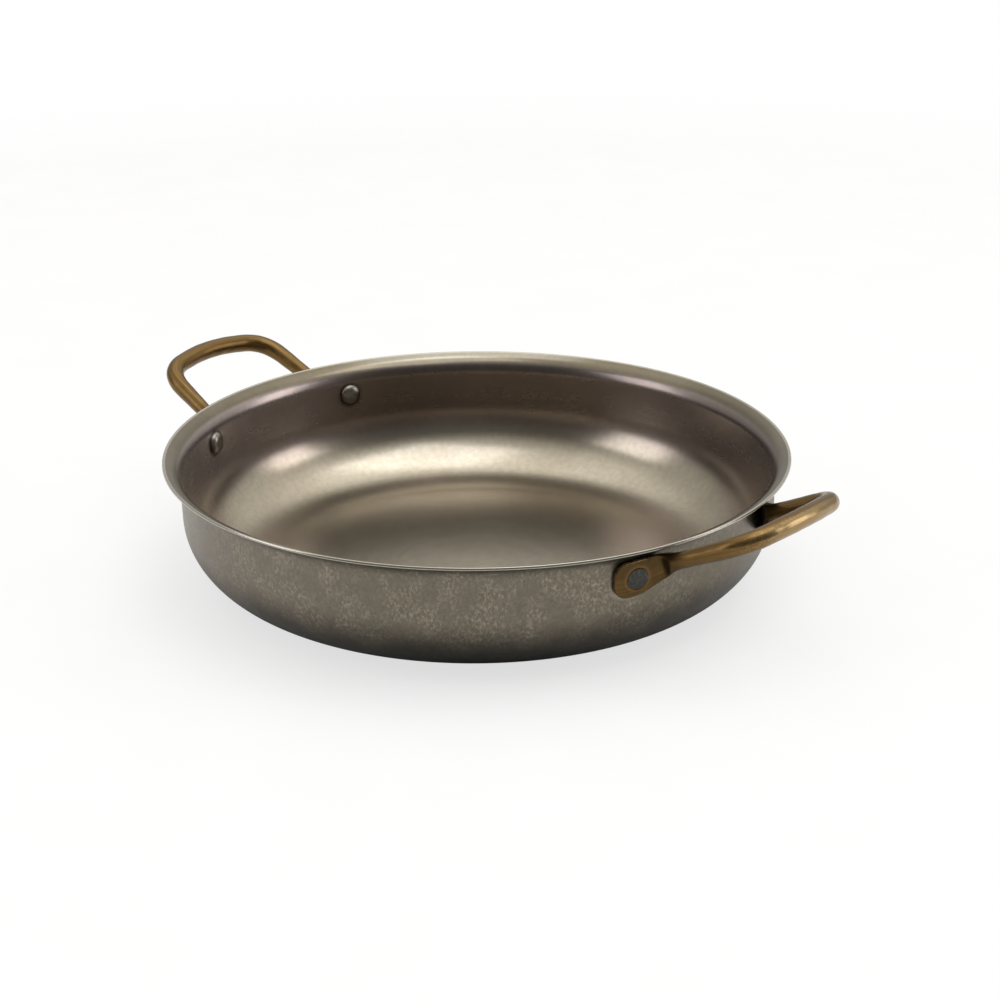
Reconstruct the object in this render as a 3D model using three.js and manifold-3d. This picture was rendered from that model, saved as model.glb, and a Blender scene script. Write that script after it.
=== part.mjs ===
import * as THREE from 'three';
import { mergeVertices } from 'three/addons/utils/BufferGeometryUtils.js';
import { LoftGeometry } from 'three/addons/geometries/LoftGeometry.js';
import Module from 'manifold-3d';

const wasm = await Module();
wasm.setup();

// Round serving dish with two riveted loop handles, in millimetres, standing on Z = 0.
// The handles lie on the X axis, and the dish is centred on the Z axis.

// Dish, one sheet of steel
const rimRadius = 110;
const dishHeight = 45.7;
const sheetThickness = 1;
const baseRadius = 74;
// Depth of the upright wall and lip, from the rim edge down to the rounded corner
const wallDepth = 20.4;
const wallDraft = THREE.MathUtils.degToRad(1.5);
// Rim edge beyond the top of the wall, rise of the lip, and the bend under it
const lipOverhang = 5.9;
const lipRise = THREE.MathUtils.degToRad(20);
const rollRadius = 6;

// Handles, a round bar that swells from its roots to its grip, with a flat lug at each end
const rootDiameter = 5.5;
const gripDiameter = 6.6;
const lugHeight = 12.4;
const lugThickness = 1.8;
const lugCornerRadius = 4.8;
// Lug end beyond the rivet, and the rivet to the root of the loop
const lugOverhang = 8.3;
const lugNeck = 8.7;
// Root of the loop above the rivet, and the slope of the loop
const rootRise = 2.4;
const loopRise = THREE.MathUtils.degToRad(25);
// Loop corners beyond the rim edge and off the middle, and the bow of the grip between them
const loopReach = 23.1;
const loopHalfWidth = 25.3;
const gripBow = 4.2;
// Length of bar taken up by each bend, either side of the bend's vertex
const lugBend = 4;
const rootBend = 5;
const cornerBend = 10.6;
const gripBend = 12;
// Length over which the flat lug turns into the round bar, and over which the bar then swells
const neckTaper = 6;
const swellLength = 28;

// Rivets
const rivetSpan = 72;
const rivetDrop = 11.3;
const shankDiameter = 4.4;
const headDiameter = 8.2;
const headHeight = 2.2;
const tailDiameter = 7.2;
const tailDepth = 0.9;

// Clearances: between pieces that seat on each other, and round a rivet's shank and tail
const seatGap = 0.3;
const shankGap = 0.3;

// Facets
const dishFacets = 72;
const cornerFacets = 9;
const rollFacets = 5;
const barFacets = 16;
const lugSections = 11;
const loopSections = 26;
const rivetFacets = 24;
const domeFacets = 6;
// Crowding of the sections towards a lug's round end, and how square a flat and a round section are
const sectionCrowding = 1.4;
const flatSquareness = 6;
const roundSquareness = 2;
// Points closer than this are one vertex
const mergeTolerance = 1e-4;

const steel = new THREE.MeshStandardMaterial({ color: 0x8f8675, roughness: 0.38, metalness: 1 });
const brass = new THREE.MeshStandardMaterial({ color: 0xa58148, roughness: 0.42, metalness: 1 });
const rivetSteel = new THREE.MeshStandardMaterial({ color: 0x8b8983, roughness: 0.35, metalness: 1 });

// Solid from a closed geometry, without the zero-area triangles at a lathe's axis
function solidOf(geometry) {
  const bare = new THREE.BufferGeometry().copy(geometry);
  bare.deleteAttribute('normal');
  bare.deleteAttribute('uv');
  const merged = mergeVertices(bare, mergeTolerance);
  const corners = merged.index.array;
  const triangles = [];
  for (let i = 0; i < corners.length; i += 3) {
    const [a, b, c] = corners.slice(i, i + 3);
    if (a !== b && b !== c && c !== a) {
      triangles.push(a, b, c);
    }
  }
  return new wasm.Manifold(new wasm.Mesh({
    numProp: 3,
    vertProperties: new Float32Array(merged.attributes.position.array),
    triVerts: new Uint32Array(triangles),
  }));
}

function geometryOf(solid) {
  const mesh = solid.getMesh();
  const geometry = new THREE.BufferGeometry();
  geometry.setAttribute('position', new THREE.BufferAttribute(mesh.vertProperties, 3));
  geometry.setIndex(new THREE.BufferAttribute(mesh.triVerts, 1));
  geometry.computeVertexNormals();
  return geometry;
}

// Profile turned about the Z axis
function turned(profile, facets) {
  return new THREE.LatheGeometry(profile, facets).rotateX(Math.PI / 2);
}

// Profile moved sideways by a distance, to the left of its direction, with mitred corners
function offsetProfile(points, distance) {
  const normals = points.slice(1).map((point, i) => {
    const along = point.clone().sub(points[i]).normalize();
    return new THREE.Vector2(-along.y, along.x);
  });
  return points.map((point, i) => {
    const before = normals[Math.max(i - 1, 0)];
    const after = normals[Math.min(i, normals.length - 1)];
    const mitre = before.clone().add(after).normalize();
    return point.clone().addScaledVector(mitre, distance / mitre.dot(after));
  });
}

// Outer face of the dish as radius and height, from the axis out to the rim edge
const wallTopRadius = rimRadius - lipOverhang;
const rollCentreRadius = wallTopRadius + rollRadius * Math.cos(wallDraft);
const rollEndRadius = rollCentreRadius - rollRadius * Math.sin(lipRise);
const lipEndHeight = dishHeight - sheetThickness * Math.cos(lipRise);
const rollEndHeight = lipEndHeight - (rimRadius - rollEndRadius) * Math.tan(lipRise);
const rollCentreHeight = rollEndHeight - rollRadius * Math.cos(lipRise);
const wallTopHeight = rollCentreHeight + rollRadius * Math.sin(wallDraft);
const cornerHeight = dishHeight - wallDepth;

function wallRadiusAt(height) {
  return wallTopRadius - (wallTopHeight - height) * Math.tan(wallDraft);
}

function outerProfile() {
  const footRadius = wallRadiusAt(cornerHeight);
  // Share of a quarter ellipse's semi-axis that its curve's handles take
  const handleShare = 4 / 3 * (Math.SQRT2 - 1);
  const across = handleShare * (footRadius - baseRadius);
  const up = handleShare * cornerHeight;
  const base = new THREE.Vector2(baseRadius, 0);
  const foot = new THREE.Vector2(footRadius, cornerHeight);
  const corner = new THREE.CubicBezierCurve(
    base,
    new THREE.Vector2(baseRadius + across, 0),
    new THREE.Vector2(footRadius - up * Math.tan(wallDraft), cornerHeight - up),
    foot,
  );
  const roll = new THREE.EllipseCurve(
    rollCentreRadius, rollCentreHeight, rollRadius, rollRadius,
    Math.PI - wallDraft, Math.PI / 2 + lipRise, true,
  );
  return [
    new THREE.Vector2(0, 0),
    ...corner.getPoints(cornerFacets),
    ...roll.getPoints(rollFacets),
    new THREE.Vector2(rimRadius, lipEndHeight),
  ];
}

// Rivets stand square to the wall, at equal angles either side of the handle's middle
const rivetHeight = dishHeight - rivetDrop;
const rivetSeatRadius = wallRadiusAt(rivetHeight);
const rivetAngle = Math.asin(rivetSpan / 2 / rivetSeatRadius);

// Sets an object on the wall's outer face at a rivet, with its own +Z pointing out of the dish
function setAtRivet(object, angle) {
  object.position.set(
    rivetSeatRadius * Math.cos(angle), rivetSeatRadius * Math.sin(angle), rivetHeight,
  );
  object.rotation.set(0, Math.PI / 2 + wallDraft, angle, 'ZYX');
  object.updateMatrix();
  return object;
}

function solidAtRivet(geometry, angle) {
  const place = setAtRivet(new THREE.Object3D(), angle);
  return solidOf(geometry.clone().applyMatrix4(place.matrix));
}

// Heights along a rivet, measured outwards from the wall's outer face
const headSeat = -sheetThickness - seatGap;
const lugFace = seatGap + lugThickness;

function rivetGeometry() {
  const headRadius = headDiameter / 2;
  const dome = new THREE.EllipseCurve(
    0, headSeat, headRadius, headHeight, -Math.PI / 2, 0, false,
  );
  return turned([
    ...dome.getPoints(domeFacets),
    new THREE.Vector2(shankDiameter / 2, headSeat),
    new THREE.Vector2(shankDiameter / 2, lugFace - tailDepth),
    new THREE.Vector2(tailDiameter / 2, lugFace),
    new THREE.Vector2(0, lugFace),
  ], rivetFacets);
}

// Space that a rivet's shank and countersunk tail need, running past both sides
function rivetHoleGeometry() {
  const shankRadius = shankDiameter / 2 + shankGap;
  const tailRadius = tailDiameter / 2 + shankGap;
  return turned([
    new THREE.Vector2(0, headSeat - headHeight),
    new THREE.Vector2(shankRadius, headSeat - headHeight),
    new THREE.Vector2(shankRadius, lugFace - tailDepth),
    new THREE.Vector2(tailRadius, lugFace),
    new THREE.Vector2(tailRadius, lugFace + lugThickness),
    new THREE.Vector2(0, lugFace + lugThickness),
  ], rivetFacets);
}

function shellGeometry(rivetAngles) {
  const outer = outerProfile();
  const inner = offsetProfile(outer, sheetThickness);
  let solid = solidOf(turned([...outer, ...inner.reverse()], dishFacets));
  for (const angle of rivetAngles) {
    solid = solid.subtract(solidAtRivet(rivetHoleGeometry(), angle));
  }
  return geometryOf(solid);
}

// Everything that the dish fills or encloses, grown by the seat gap
function dishEnvelope() {
  const grown = offsetProfile(outerProfile(), -seatGap);
  const lipEnd = grown.at(-1);
  const clearRadius = lipEnd.x + seatGap;
  const clearHeight = dishHeight + seatGap;
  return solidOf(turned([
    ...grown,
    new THREE.Vector2(clearRadius, lipEnd.y),
    new THREE.Vector2(clearRadius, clearHeight),
    new THREE.Vector2(0, clearHeight),
  ], dishFacets));
}

// Smooth path through straight stretches, with each vertex rounded by its bend
function roundedPath(vertices, bends) {
  const path = new THREE.CurvePath();
  let from = vertices[0];
  for (let i = 1; i < vertices.length - 1; i += 1) {
    const vertex = vertices[i];
    const back = vertices[i - 1].clone().sub(vertex);
    const ahead = vertices[i + 1].clone().sub(vertex);
    const bend = Math.min(bends[i], back.length() / 2, ahead.length() / 2);
    const start = vertex.clone().addScaledVector(back.normalize(), bend);
    const end = vertex.clone().addScaledVector(ahead.normalize(), bend);
    path.add(new THREE.LineCurve3(from, start));
    path.add(new THREE.QuadraticBezierCurve3(start, vertex, end));
    from = end;
  }
  path.add(new THREE.LineCurve3(from, vertices.at(-1)));
  return path;
}

// Middle line of a handle: along one lug, round the loop, and back along the other lug
function handlePath() {
  const lugPoint = (angle, height) => {
    const radius = wallRadiusAt(height) + seatGap + lugThickness / 2;
    return new THREE.Vector3(radius * Math.cos(angle), radius * Math.sin(angle), height);
  };
  const end = lugPoint(rivetAngle + lugOverhang / rivetSeatRadius, rivetHeight);
  const rivet = lugPoint(rivetAngle, rivetHeight);
  const root = lugPoint(rivetAngle - lugNeck / rivetSeatRadius, rivetHeight + rootRise);
  const loopPoint = (reach, y) => {
    const x = rimRadius + reach;
    return new THREE.Vector3(x, y, root.z + (x - root.x) * Math.tan(loopRise));
  };
  const corner = loopPoint(loopReach, loopHalfWidth);
  const grip = loopPoint(loopReach + gripBow, 0);
  const half = [end, rivet, root, corner];
  const mirrored = half.map((point) => new THREE.Vector3(point.x, -point.y, point.z)).reverse();
  const bends = [0, lugBend, rootBend, cornerBend];
  return roundedPath([...half, grip, ...mirrored], [...bends, gripBend, ...bends.toReversed()]);
}

// Half height, half thickness and squareness of the bar at a distance from the lug's end
function barSection(distance) {
  const neckEnd = lugOverhang + lugNeck + neckTaper;
  const swelling = THREE.MathUtils.smoothstep(distance, neckEnd, neckEnd + swellLength);
  const barRadius = THREE.MathUtils.lerp(rootDiameter, gripDiameter, swelling) / 2;
  const narrowing = THREE.MathUtils.smoothstep(distance, lugOverhang, neckEnd + neckTaper / 2);
  const rounding = THREE.MathUtils.smoothstep(distance, neckEnd - neckTaper, neckEnd);
  const inCorner = Math.max(lugCornerRadius - distance, 0);
  const cornerCut = lugCornerRadius - Math.sqrt(lugCornerRadius ** 2 - inCorner ** 2);
  return {
    halfHeight: THREE.MathUtils.lerp(lugHeight / 2, barRadius, narrowing) - cornerCut,
    halfThickness: THREE.MathUtils.lerp(lugThickness / 2, barRadius, rounding),
    squareness: THREE.MathUtils.lerp(flatSquareness, roundSquareness, rounding),
  };
}

// Distances of the sections from one lug's end, closer together where the lug's end is round
function sectionDistances(length) {
  const lugLength = lugOverhang + lugNeck + neckTaper;
  const lug = [];
  for (let i = 0; i < lugSections; i += 1) {
    lug.push(lugLength * (i / lugSections) ** sectionCrowding);
  }
  const loop = [];
  for (let i = 0; i <= loopSections; i += 1) {
    loop.push(THREE.MathUtils.lerp(lugLength, length - lugLength, i / loopSections));
  }
  return [...lug, ...loop, ...lug.map((distance) => length - distance).reverse()];
}

// Loft of sections that stand square to the path, their height kept as upright as it goes
function barGeometry() {
  const path = handlePath();
  const length = path.getLength();
  const sections = sectionDistances(length).map((distance) => {
    const share = distance / length;
    const centre = path.getPointAt(share);
    const along = path.getTangentAt(share);
    const up = new THREE.Vector3(0, 0, 1).addScaledVector(along, -along.z).normalize();
    const out = up.clone().cross(along);
    const fromEnd = Math.min(distance, length - distance);
    const { halfHeight, halfThickness, squareness } = barSection(fromEnd);
    const points = [];
    for (let i = 0; i < barFacets; i += 1) {
      const turn = i / barFacets * 2 * Math.PI;
      const squared = (value) => Math.sign(value) * Math.abs(value) ** (2 / squareness);
      points.push(centre.clone()
        .addScaledVector(out, halfThickness * squared(Math.cos(turn)))
        .addScaledVector(up, halfHeight * squared(Math.sin(turn))));
    }
    return points;
  });
  return new LoftGeometry(sections, { capStart: true, capEnd: true });
}

function handleGeometry() {
  let solid = solidOf(barGeometry()).subtract(dishEnvelope());
  for (const angle of [rivetAngle, -rivetAngle]) {
    solid = solid.subtract(solidAtRivet(rivetHoleGeometry(), angle));
  }
  return geometryOf(solid);
}

function namedMesh(name, geometry, material) {
  const mesh = new THREE.Mesh(geometry, material);
  mesh.name = name;
  return mesh;
}

// The two handles, each with its rivets, are alike and half a turn apart
const sides = [
  { name: 'right', turn: 0, rivets: { back: rivetAngle, front: -rivetAngle } },
  { name: 'left', turn: Math.PI, rivets: { front: rivetAngle, back: -rivetAngle } },
];

const dish = new THREE.Group();
const rivetAngles = sides.flatMap(
  ({ turn, rivets }) => Object.values(rivets).map((angle) => turn + angle),
);
dish.add(namedMesh('dish_shell', shellGeometry(rivetAngles), steel));

for (const { name, turn, rivets } of sides) {
  const side = new THREE.Group();
  side.rotation.z = turn;
  side.add(namedMesh(`handle_${name}`, handleGeometry(), brass.clone()));
  for (const [end, angle] of Object.entries(rivets)) {
    const rivet = namedMesh(`rivet_${name}_${end}`, rivetGeometry(), rivetSteel.clone());
    side.add(setAtRivet(rivet, angle));
  }
  dish.add(side);
}

export default dish;
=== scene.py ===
import math

import bpy
import numpy as np
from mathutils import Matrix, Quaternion, Vector


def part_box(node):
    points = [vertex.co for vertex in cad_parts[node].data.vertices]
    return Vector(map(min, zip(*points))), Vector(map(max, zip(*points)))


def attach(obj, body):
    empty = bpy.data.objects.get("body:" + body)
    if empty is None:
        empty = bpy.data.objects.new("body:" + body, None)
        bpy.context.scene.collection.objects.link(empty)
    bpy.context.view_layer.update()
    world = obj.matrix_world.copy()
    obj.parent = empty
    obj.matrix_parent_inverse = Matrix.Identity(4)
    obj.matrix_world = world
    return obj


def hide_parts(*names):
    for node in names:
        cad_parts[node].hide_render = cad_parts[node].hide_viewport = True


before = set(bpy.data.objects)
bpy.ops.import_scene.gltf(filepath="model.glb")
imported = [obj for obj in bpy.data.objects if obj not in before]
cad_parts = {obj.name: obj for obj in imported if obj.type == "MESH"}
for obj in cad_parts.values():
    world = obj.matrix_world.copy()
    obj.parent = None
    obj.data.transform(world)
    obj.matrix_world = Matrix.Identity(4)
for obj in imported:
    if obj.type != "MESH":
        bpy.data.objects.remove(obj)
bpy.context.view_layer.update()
print("frame loaded with", len(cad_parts), "nodes")


# Meshes

def meshFrom(name, points, quads, triangles):
    # faces from two arrays of corner numbers, turned outwards by the sign of the volume they enclose
    halves = np.concatenate([quads[:, [0, 1, 2]], quads[:, [0, 2, 3]], triangles])
    a, b, c = points[halves[:, 0]], points[halves[:, 1]], points[halves[:, 2]]
    if np.einsum("ij,ij->", a, np.cross(b, c)) < 0:
        quads, triangles = quads[:, ::-1], triangles[:, ::-1]
    corners = np.concatenate([quads.ravel(), triangles.ravel()]).astype(np.int32)
    sizes = np.concatenate([np.full(len(quads), 4), np.full(len(triangles), 3)])
    starts = np.concatenate([[0], np.cumsum(sizes)[:-1]]).astype(np.int32)
    mesh = bpy.data.meshes.new(name)
    mesh.vertices.add(len(points))
    mesh.loops.add(len(corners))
    mesh.polygons.add(len(sizes))
    mesh.vertices.foreach_set("co", points.astype(np.float32).ravel())
    mesh.loops.foreach_set("vertex_index", corners)
    mesh.polygons.foreach_set("loop_start", starts)
    mesh.update(calc_edges=True)
    return mesh


def ringQuads(rows, columns):
    # corner numbers of the faces that join each ring of points to the next
    row, column = np.mgrid[0:rows - 1, 0:columns]
    here = row * columns + column
    beside = row * columns + (column + 1) % columns
    return np.stack([here, beside, beside + columns, here + columns], -1).reshape(-1, 4)


def closedTube(name, rings, firstPole, lastPole):
    # each row of the (rows, columns, 3) array is a ring joined to the next, and both ends close on a pole
    rows, columns = rings.shape[:2]
    points = np.concatenate([firstPole[None], rings.reshape(-1, 3), lastPole[None]])
    quads = 1 + ringQuads(rows, columns)
    turn = np.arange(columns)
    following = (turn + 1) % columns
    end = 1 + (rows - 1) * columns
    firstFan = np.stack([following + 1, turn + 1, np.zeros(columns, int)], -1)
    lastFan = np.stack([turn + end, following + end, np.full(columns, len(points) - 1)], -1)
    return meshFrom(name, points, quads, np.concatenate([firstFan, lastFan]))


def turnedRings(profile, columns):
    # a profile of radius and height carried round the Z axis
    angle = np.arange(columns) / columns * 2 * np.pi
    radius, height = profile[:, :1], profile[:, 1:]
    x, y = radius * np.cos(angle), radius * np.sin(angle)
    return np.stack([x, y, np.broadcast_to(height, x.shape)], -1)


def placed(name, data):
    # a new object in the scene
    thing = bpy.data.objects.new(name, data)
    bpy.context.scene.collection.objects.link(thing)
    return thing


def addPiece(mesh, body="root"):
    piece = placed(mesh.name, mesh)
    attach(piece, body)
    return piece


def softShade(mesh, degrees):
    # smooth faces, with the edges that turn by more than the angle kept sharp
    mesh.polygons.foreach_set("use_smooth", np.ones(len(mesh.polygons), bool))
    mesh.set_sharp_from_angle(angle=math.radians(degrees))


def vertexPlaces(mesh):
    places = np.empty(len(mesh.vertices) * 3, np.float32)
    mesh.vertices.foreach_get("co", places)
    return places.reshape(-1, 3).astype(float)


def paintValue(mesh, name, values):
    mesh.attributes.new(name, "FLOAT", "POINT").data.foreach_set("value", values.astype(np.float32))


def paintVector(mesh, name, vectors):
    painted = mesh.attributes.new(name, "FLOAT_VECTOR", "POINT")
    painted.data.foreach_set("vector", vectors.astype(np.float32).ravel())


def cutAway(piece, cutters):
    # takes the cutters' shapes out of the piece for good, and removes them
    for cutter in cutters:
        cut = piece.modifiers.new(cutter.name, "BOOLEAN")
        cut.operation = "DIFFERENCE"
        cut.solver = "EXACT"
        cut.object = cutter
    shown = piece.evaluated_get(bpy.context.evaluated_depsgraph_get())
    whole = piece.data
    piece.data = bpy.data.meshes.new_from_object(shown)
    piece.data.name = whole.name
    piece.modifiers.clear()
    bpy.data.meshes.remove(whole)
    for cutter in cutters:
        bpy.data.meshes.remove(cutter.data)


def smoothStep(value, low, high):
    # 0 below low, 1 above high, and an S curve between
    t = np.clip((value - low) / (high - low), 0, 1)
    return t * t * (3 - 2 * t)


def unit(vectors):
    return vectors / np.linalg.norm(vectors, axis=-1, keepdims=True)


# Dish, one sheet of steel

dish = {
    "rimRadius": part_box("dish_shell")[1].x,
    "height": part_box("dish_shell")[1].z,
    "sheet": 0.001,
    "baseRadius": 0.074,
    "wallDepth": 0.0204,  # rim edge down to the rounded corner
    "wallDraft": math.radians(1.5),
    "lipOverhang": 0.0059,
    "lipRise": math.radians(20),
    "rollRadius": 0.006,  # bend under the lip
    "edgeRound": 0.0003,  # worn cut edge
    "waveHeight": 0.00012,  # how far the hand-spun wall wanders
    "waveFrom": 0.002,  # height above the base where that starts
    "outWaves": ((2, 1, 0.6), (3, 0.6, 2.1), (7, 0.35, 4)),  # number round the wall, share and phase
    "upWaves": ((2, 1, 2.4), (5, 0.5, 0)),
    "wearFade": (0.0001, 0.0013),  # distance from the cut edge
    "sharpAngle": 40,
    "columns": 384,
    "baseRows": 14,
    "cornerRows": 56,
    "wallRows": 14,
    "rollRows": 22,
    "lipRows": 4,
    "edgeRows": 5,
}

wallTopRadius = dish["rimRadius"] - dish["lipOverhang"]
rollMiddleRadius = wallTopRadius + dish["rollRadius"] * math.cos(dish["wallDraft"])
rollEndRadius = rollMiddleRadius - dish["rollRadius"] * math.sin(dish["lipRise"])
lipEndHeight = dish["height"] - dish["sheet"] * math.cos(dish["lipRise"])
rollEndHeight = lipEndHeight - (dish["rimRadius"] - rollEndRadius) * math.tan(dish["lipRise"])
rollMiddleHeight = rollEndHeight - dish["rollRadius"] * math.cos(dish["lipRise"])
wallTopHeight = rollMiddleHeight + dish["rollRadius"] * math.sin(dish["wallDraft"])
cornerHeight = dish["height"] - dish["wallDepth"]


def wallRadiusAt(height):
    # of the outer face, on the straight wall
    return wallTopRadius - (wallTopHeight - height) * math.tan(dish["wallDraft"])


def outerFace():
    # points and directions of the sheet's outer face, from the axis out to the rim edge:
    # flat base, quarter ellipse as a cubic curve, straight wall, arc under the lip, straight lip
    footRadius = wallRadiusAt(cornerHeight)
    share = 4 / 3 * (math.sqrt(2) - 1)  # of a quarter ellipse's semi-axis, taken by its curve's handles
    draft = math.tan(dish["wallDraft"])
    p0 = np.array([dish["baseRadius"], 0])
    p1 = np.array([dish["baseRadius"] + share * (footRadius - dish["baseRadius"]), 0])
    p2 = np.array([footRadius - share * cornerHeight * draft, cornerHeight * (1 - share)])
    p3 = np.array([footRadius, cornerHeight])
    flat = np.linspace([0, 0], p0, dish["baseRows"] + 1)[1:-1]
    flatWay = np.broadcast_to([1.0, 0.0], flat.shape)
    t = np.linspace(0, 1, dish["cornerRows"])[:, None]
    corner = (1 - t) ** 3 * p0 + 3 * (1 - t) ** 2 * t * p1 + 3 * (1 - t) * t ** 2 * p2 + t ** 3 * p3
    cornerWay = unit((1 - t) ** 2 * (p1 - p0) + 2 * (1 - t) * t * (p2 - p1) + t ** 2 * (p3 - p2))
    wall = np.linspace(p3, [wallTopRadius, wallTopHeight], dish["wallRows"] + 1)[1:-1]
    wallWay = np.broadcast_to([math.sin(dish["wallDraft"]), math.cos(dish["wallDraft"])], wall.shape)
    angle = np.linspace(math.pi - dish["wallDraft"], math.pi / 2 + dish["lipRise"], dish["rollRows"])
    rollMiddle = np.array([rollMiddleRadius, rollMiddleHeight])
    roll = rollMiddle + dish["rollRadius"] * np.stack([np.cos(angle), np.sin(angle)], -1)
    rollWay = np.stack([np.sin(angle), -np.cos(angle)], -1)
    lipAlong = np.array([math.cos(dish["lipRise"]), math.sin(dish["lipRise"])])
    lipEnd = np.array([dish["rimRadius"], lipEndHeight]) - dish["edgeRound"] * lipAlong
    lip = np.linspace(roll[-1], lipEnd, dish["lipRows"] + 1)[1:]
    lipWay = np.broadcast_to(lipAlong, lip.shape)
    line = np.concatenate([flat, corner, wall, roll, lip])
    way = np.concatenate([flatWay, cornerWay, wallWay, rollWay, lipWay])
    return line, way


outerLine, outerWay = outerFace()
innerLine = outerLine + dish["sheet"] * np.stack([-outerWay[:, 1], outerWay[:, 0]], -1)


def cutEdge():
    # the sheet's end, square to the lip, with both of its edges worn round
    along = outerWay[-1]
    across = np.array([-along[1], along[0]])
    turn = np.linspace(0, math.pi / 2, dish["edgeRows"])[1:, None]
    lower = outerLine[-1] + dish["edgeRound"] * (across * (1 - np.cos(turn)) + along * np.sin(turn))
    upper = innerLine[-1] + dish["edgeRound"] * (along * np.sin(turn) - across * (1 - np.cos(turn)))
    return np.concatenate([lower, upper[::-1]])


def wander(angle, waves):
    # sum of sine waves round the axis
    return sum(share * np.sin(count * angle + phase) for count, share, phase in waves)


def spinDish():
    # the section, out along one face, over the cut edge and back along the other, carried round the axis
    edge = cutEdge()
    section = np.concatenate([outerLine, edge, innerLine[::-1]])
    rings = turnedRings(section, dish["columns"])
    # slow waves round the wall, nothing at the flat base
    angle = np.arctan2(rings[..., 1], rings[..., 0])
    lift = dish["waveHeight"] * smoothStep(rings[..., 2], dish["waveFrom"], dish["height"])
    swell = 1 + lift * wander(angle, dish["outWaves"]) / dish["rimRadius"]
    rings[..., :2] *= swell[..., None]
    rings[..., 2] += lift * wander(angle, dish["upWaves"])
    mesh = closedTube("dishShell", rings, np.zeros(3), np.array([0, 0, dish["sheet"]]))
    # outside is 1 on the outer face, wear is 1 at the cut edge
    outside = np.concatenate([
        np.ones(len(outerLine)),
        np.linspace(1, 0, len(edge)),
        np.zeros(len(innerLine)),
    ])
    toEdge = np.linalg.norm(section[:, None] - edge[None], axis=-1).min(1)
    wear = 1 - smoothStep(toEdge, *dish["wearFade"])
    for name, rows, first, last in (("outside", outside, 1, 0), ("wear", wear, 0, 0)):
        paintValue(mesh, name, np.concatenate([[first], np.repeat(rows, dish["columns"]), [last]]))
    return addPiece(mesh)


# Rivets: round head inside the dish, shank through wall and lug, tail spread flush in the lug

rivet = {
    "span": 0.072,  # between a handle's two rivets
    "drop": 0.0113,  # below the rim edge
    "shank": 0.0022,
    "headRadius": 0.0041,
    "headHeight": 0.0022,
    "headSquareness": 2.5,
    "headBevel": 0.0002,  # under the head's edge
    "tailRadius": 0.0036,
    "tailDepth": 0.0009,
    "tailCrown": 0.00025,  # how far the hammered tail bulges
    "tailSpread": 1.1,  # wider along the lug than across it
    "tailBevel": 0.00012,
    "crownFrom": 0.94,  # share of the tail's radius where the bulge starts
    "clearance": 0.00004,
    "rim": 0.0003,  # width of the rubbed edge round the hole
    "lugThickness": 0.0018,
    "lugSeat": 0.00005,  # gap between wall and lug
    "sharpAngle": 50,
    "columns": 64,
    "headRows": 20,
    "tailRows": 9,
}

lugThickness, lugSeat = rivet["lugThickness"], rivet["lugSeat"]
rivetHeight = dish["height"] - rivet["drop"]
rivetSeatRadius = wallRadiusAt(rivetHeight)
rivetAngle = math.asin(rivet["span"] / 2 / rivetSeatRadius)
lugFace = lugSeat + lugThickness


def atRivet(points, angle):
    # from the rivet's own axis, measured outwards from the wall's outer face, to its place on the wall
    lean = dish["wallDraft"]
    outward = np.array([
        math.cos(angle) * math.cos(lean),
        math.sin(angle) * math.cos(lean),
        -math.sin(lean),
    ])
    sideways = np.array([-math.sin(angle), math.cos(angle), 0])
    upward = np.cross(outward, sideways)
    seat = np.array([rivetSeatRadius * math.cos(angle), rivetSeatRadius * math.sin(angle), rivetHeight])
    return seat + points[..., :1] * sideways + points[..., 1:2] * upward + points[..., 2:] * outward


def spreadTail(rings):
    # the tail, above the shank's end, is stretched along the lug
    tail = rings[..., 2] > lugFace - rivet["tailDepth"] * 0.9
    rings[..., 0] *= np.where(tail, rivet["tailSpread"], 1)
    return rings


def turnRivet(name, angle):
    # profile from the head's crown, as a flattened quarter ellipse, down the shank and over the tail
    headSeat = -dish["sheet"] - rivet["clearance"]
    turn = np.linspace(0, math.pi / 2, rivet["headRows"] + 1)[1:]
    power = 2 / rivet["headSquareness"]
    dome = np.stack([
        rivet["headRadius"] * np.sin(turn) ** power,
        headSeat - rivet["headHeight"] * np.cos(turn) ** power,
    ], -1)
    bevel = rivet["tailBevel"]
    shank = np.array([
        [rivet["headRadius"] - rivet["headBevel"], headSeat],
        [rivet["shank"], headSeat],
        [rivet["shank"], lugFace - rivet["tailDepth"]],
        [rivet["tailRadius"] - bevel * 5 / 6, lugFace - bevel],
        [rivet["tailRadius"], lugFace - bevel / 3],
        [rivet["tailRadius"] - bevel, lugFace],
    ])
    inward = np.linspace(rivet["crownFrom"], 0, rivet["tailRows"] + 1)[:-1]
    tail = np.stack([rivet["tailRadius"] * inward, lugFace + rivet["tailCrown"] * (1 - inward ** 2)], -1)
    rings = spreadTail(turnedRings(np.concatenate([dome, shank, tail]), rivet["columns"]))
    crown = atRivet(np.array([0, 0, headSeat - rivet["headHeight"]]), angle)
    tailTop = atRivet(np.array([0, 0, lugFace + rivet["tailCrown"]]), angle)
    mesh = closedTube(name, atRivet(rings, angle), crown, tailTop)
    paintValue(mesh, "tail", np.concatenate([[0], (rings[..., 2].ravel() > 0), [1]]))
    softShade(mesh, rivet["sharpAngle"])
    return addPiece(mesh)


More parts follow.
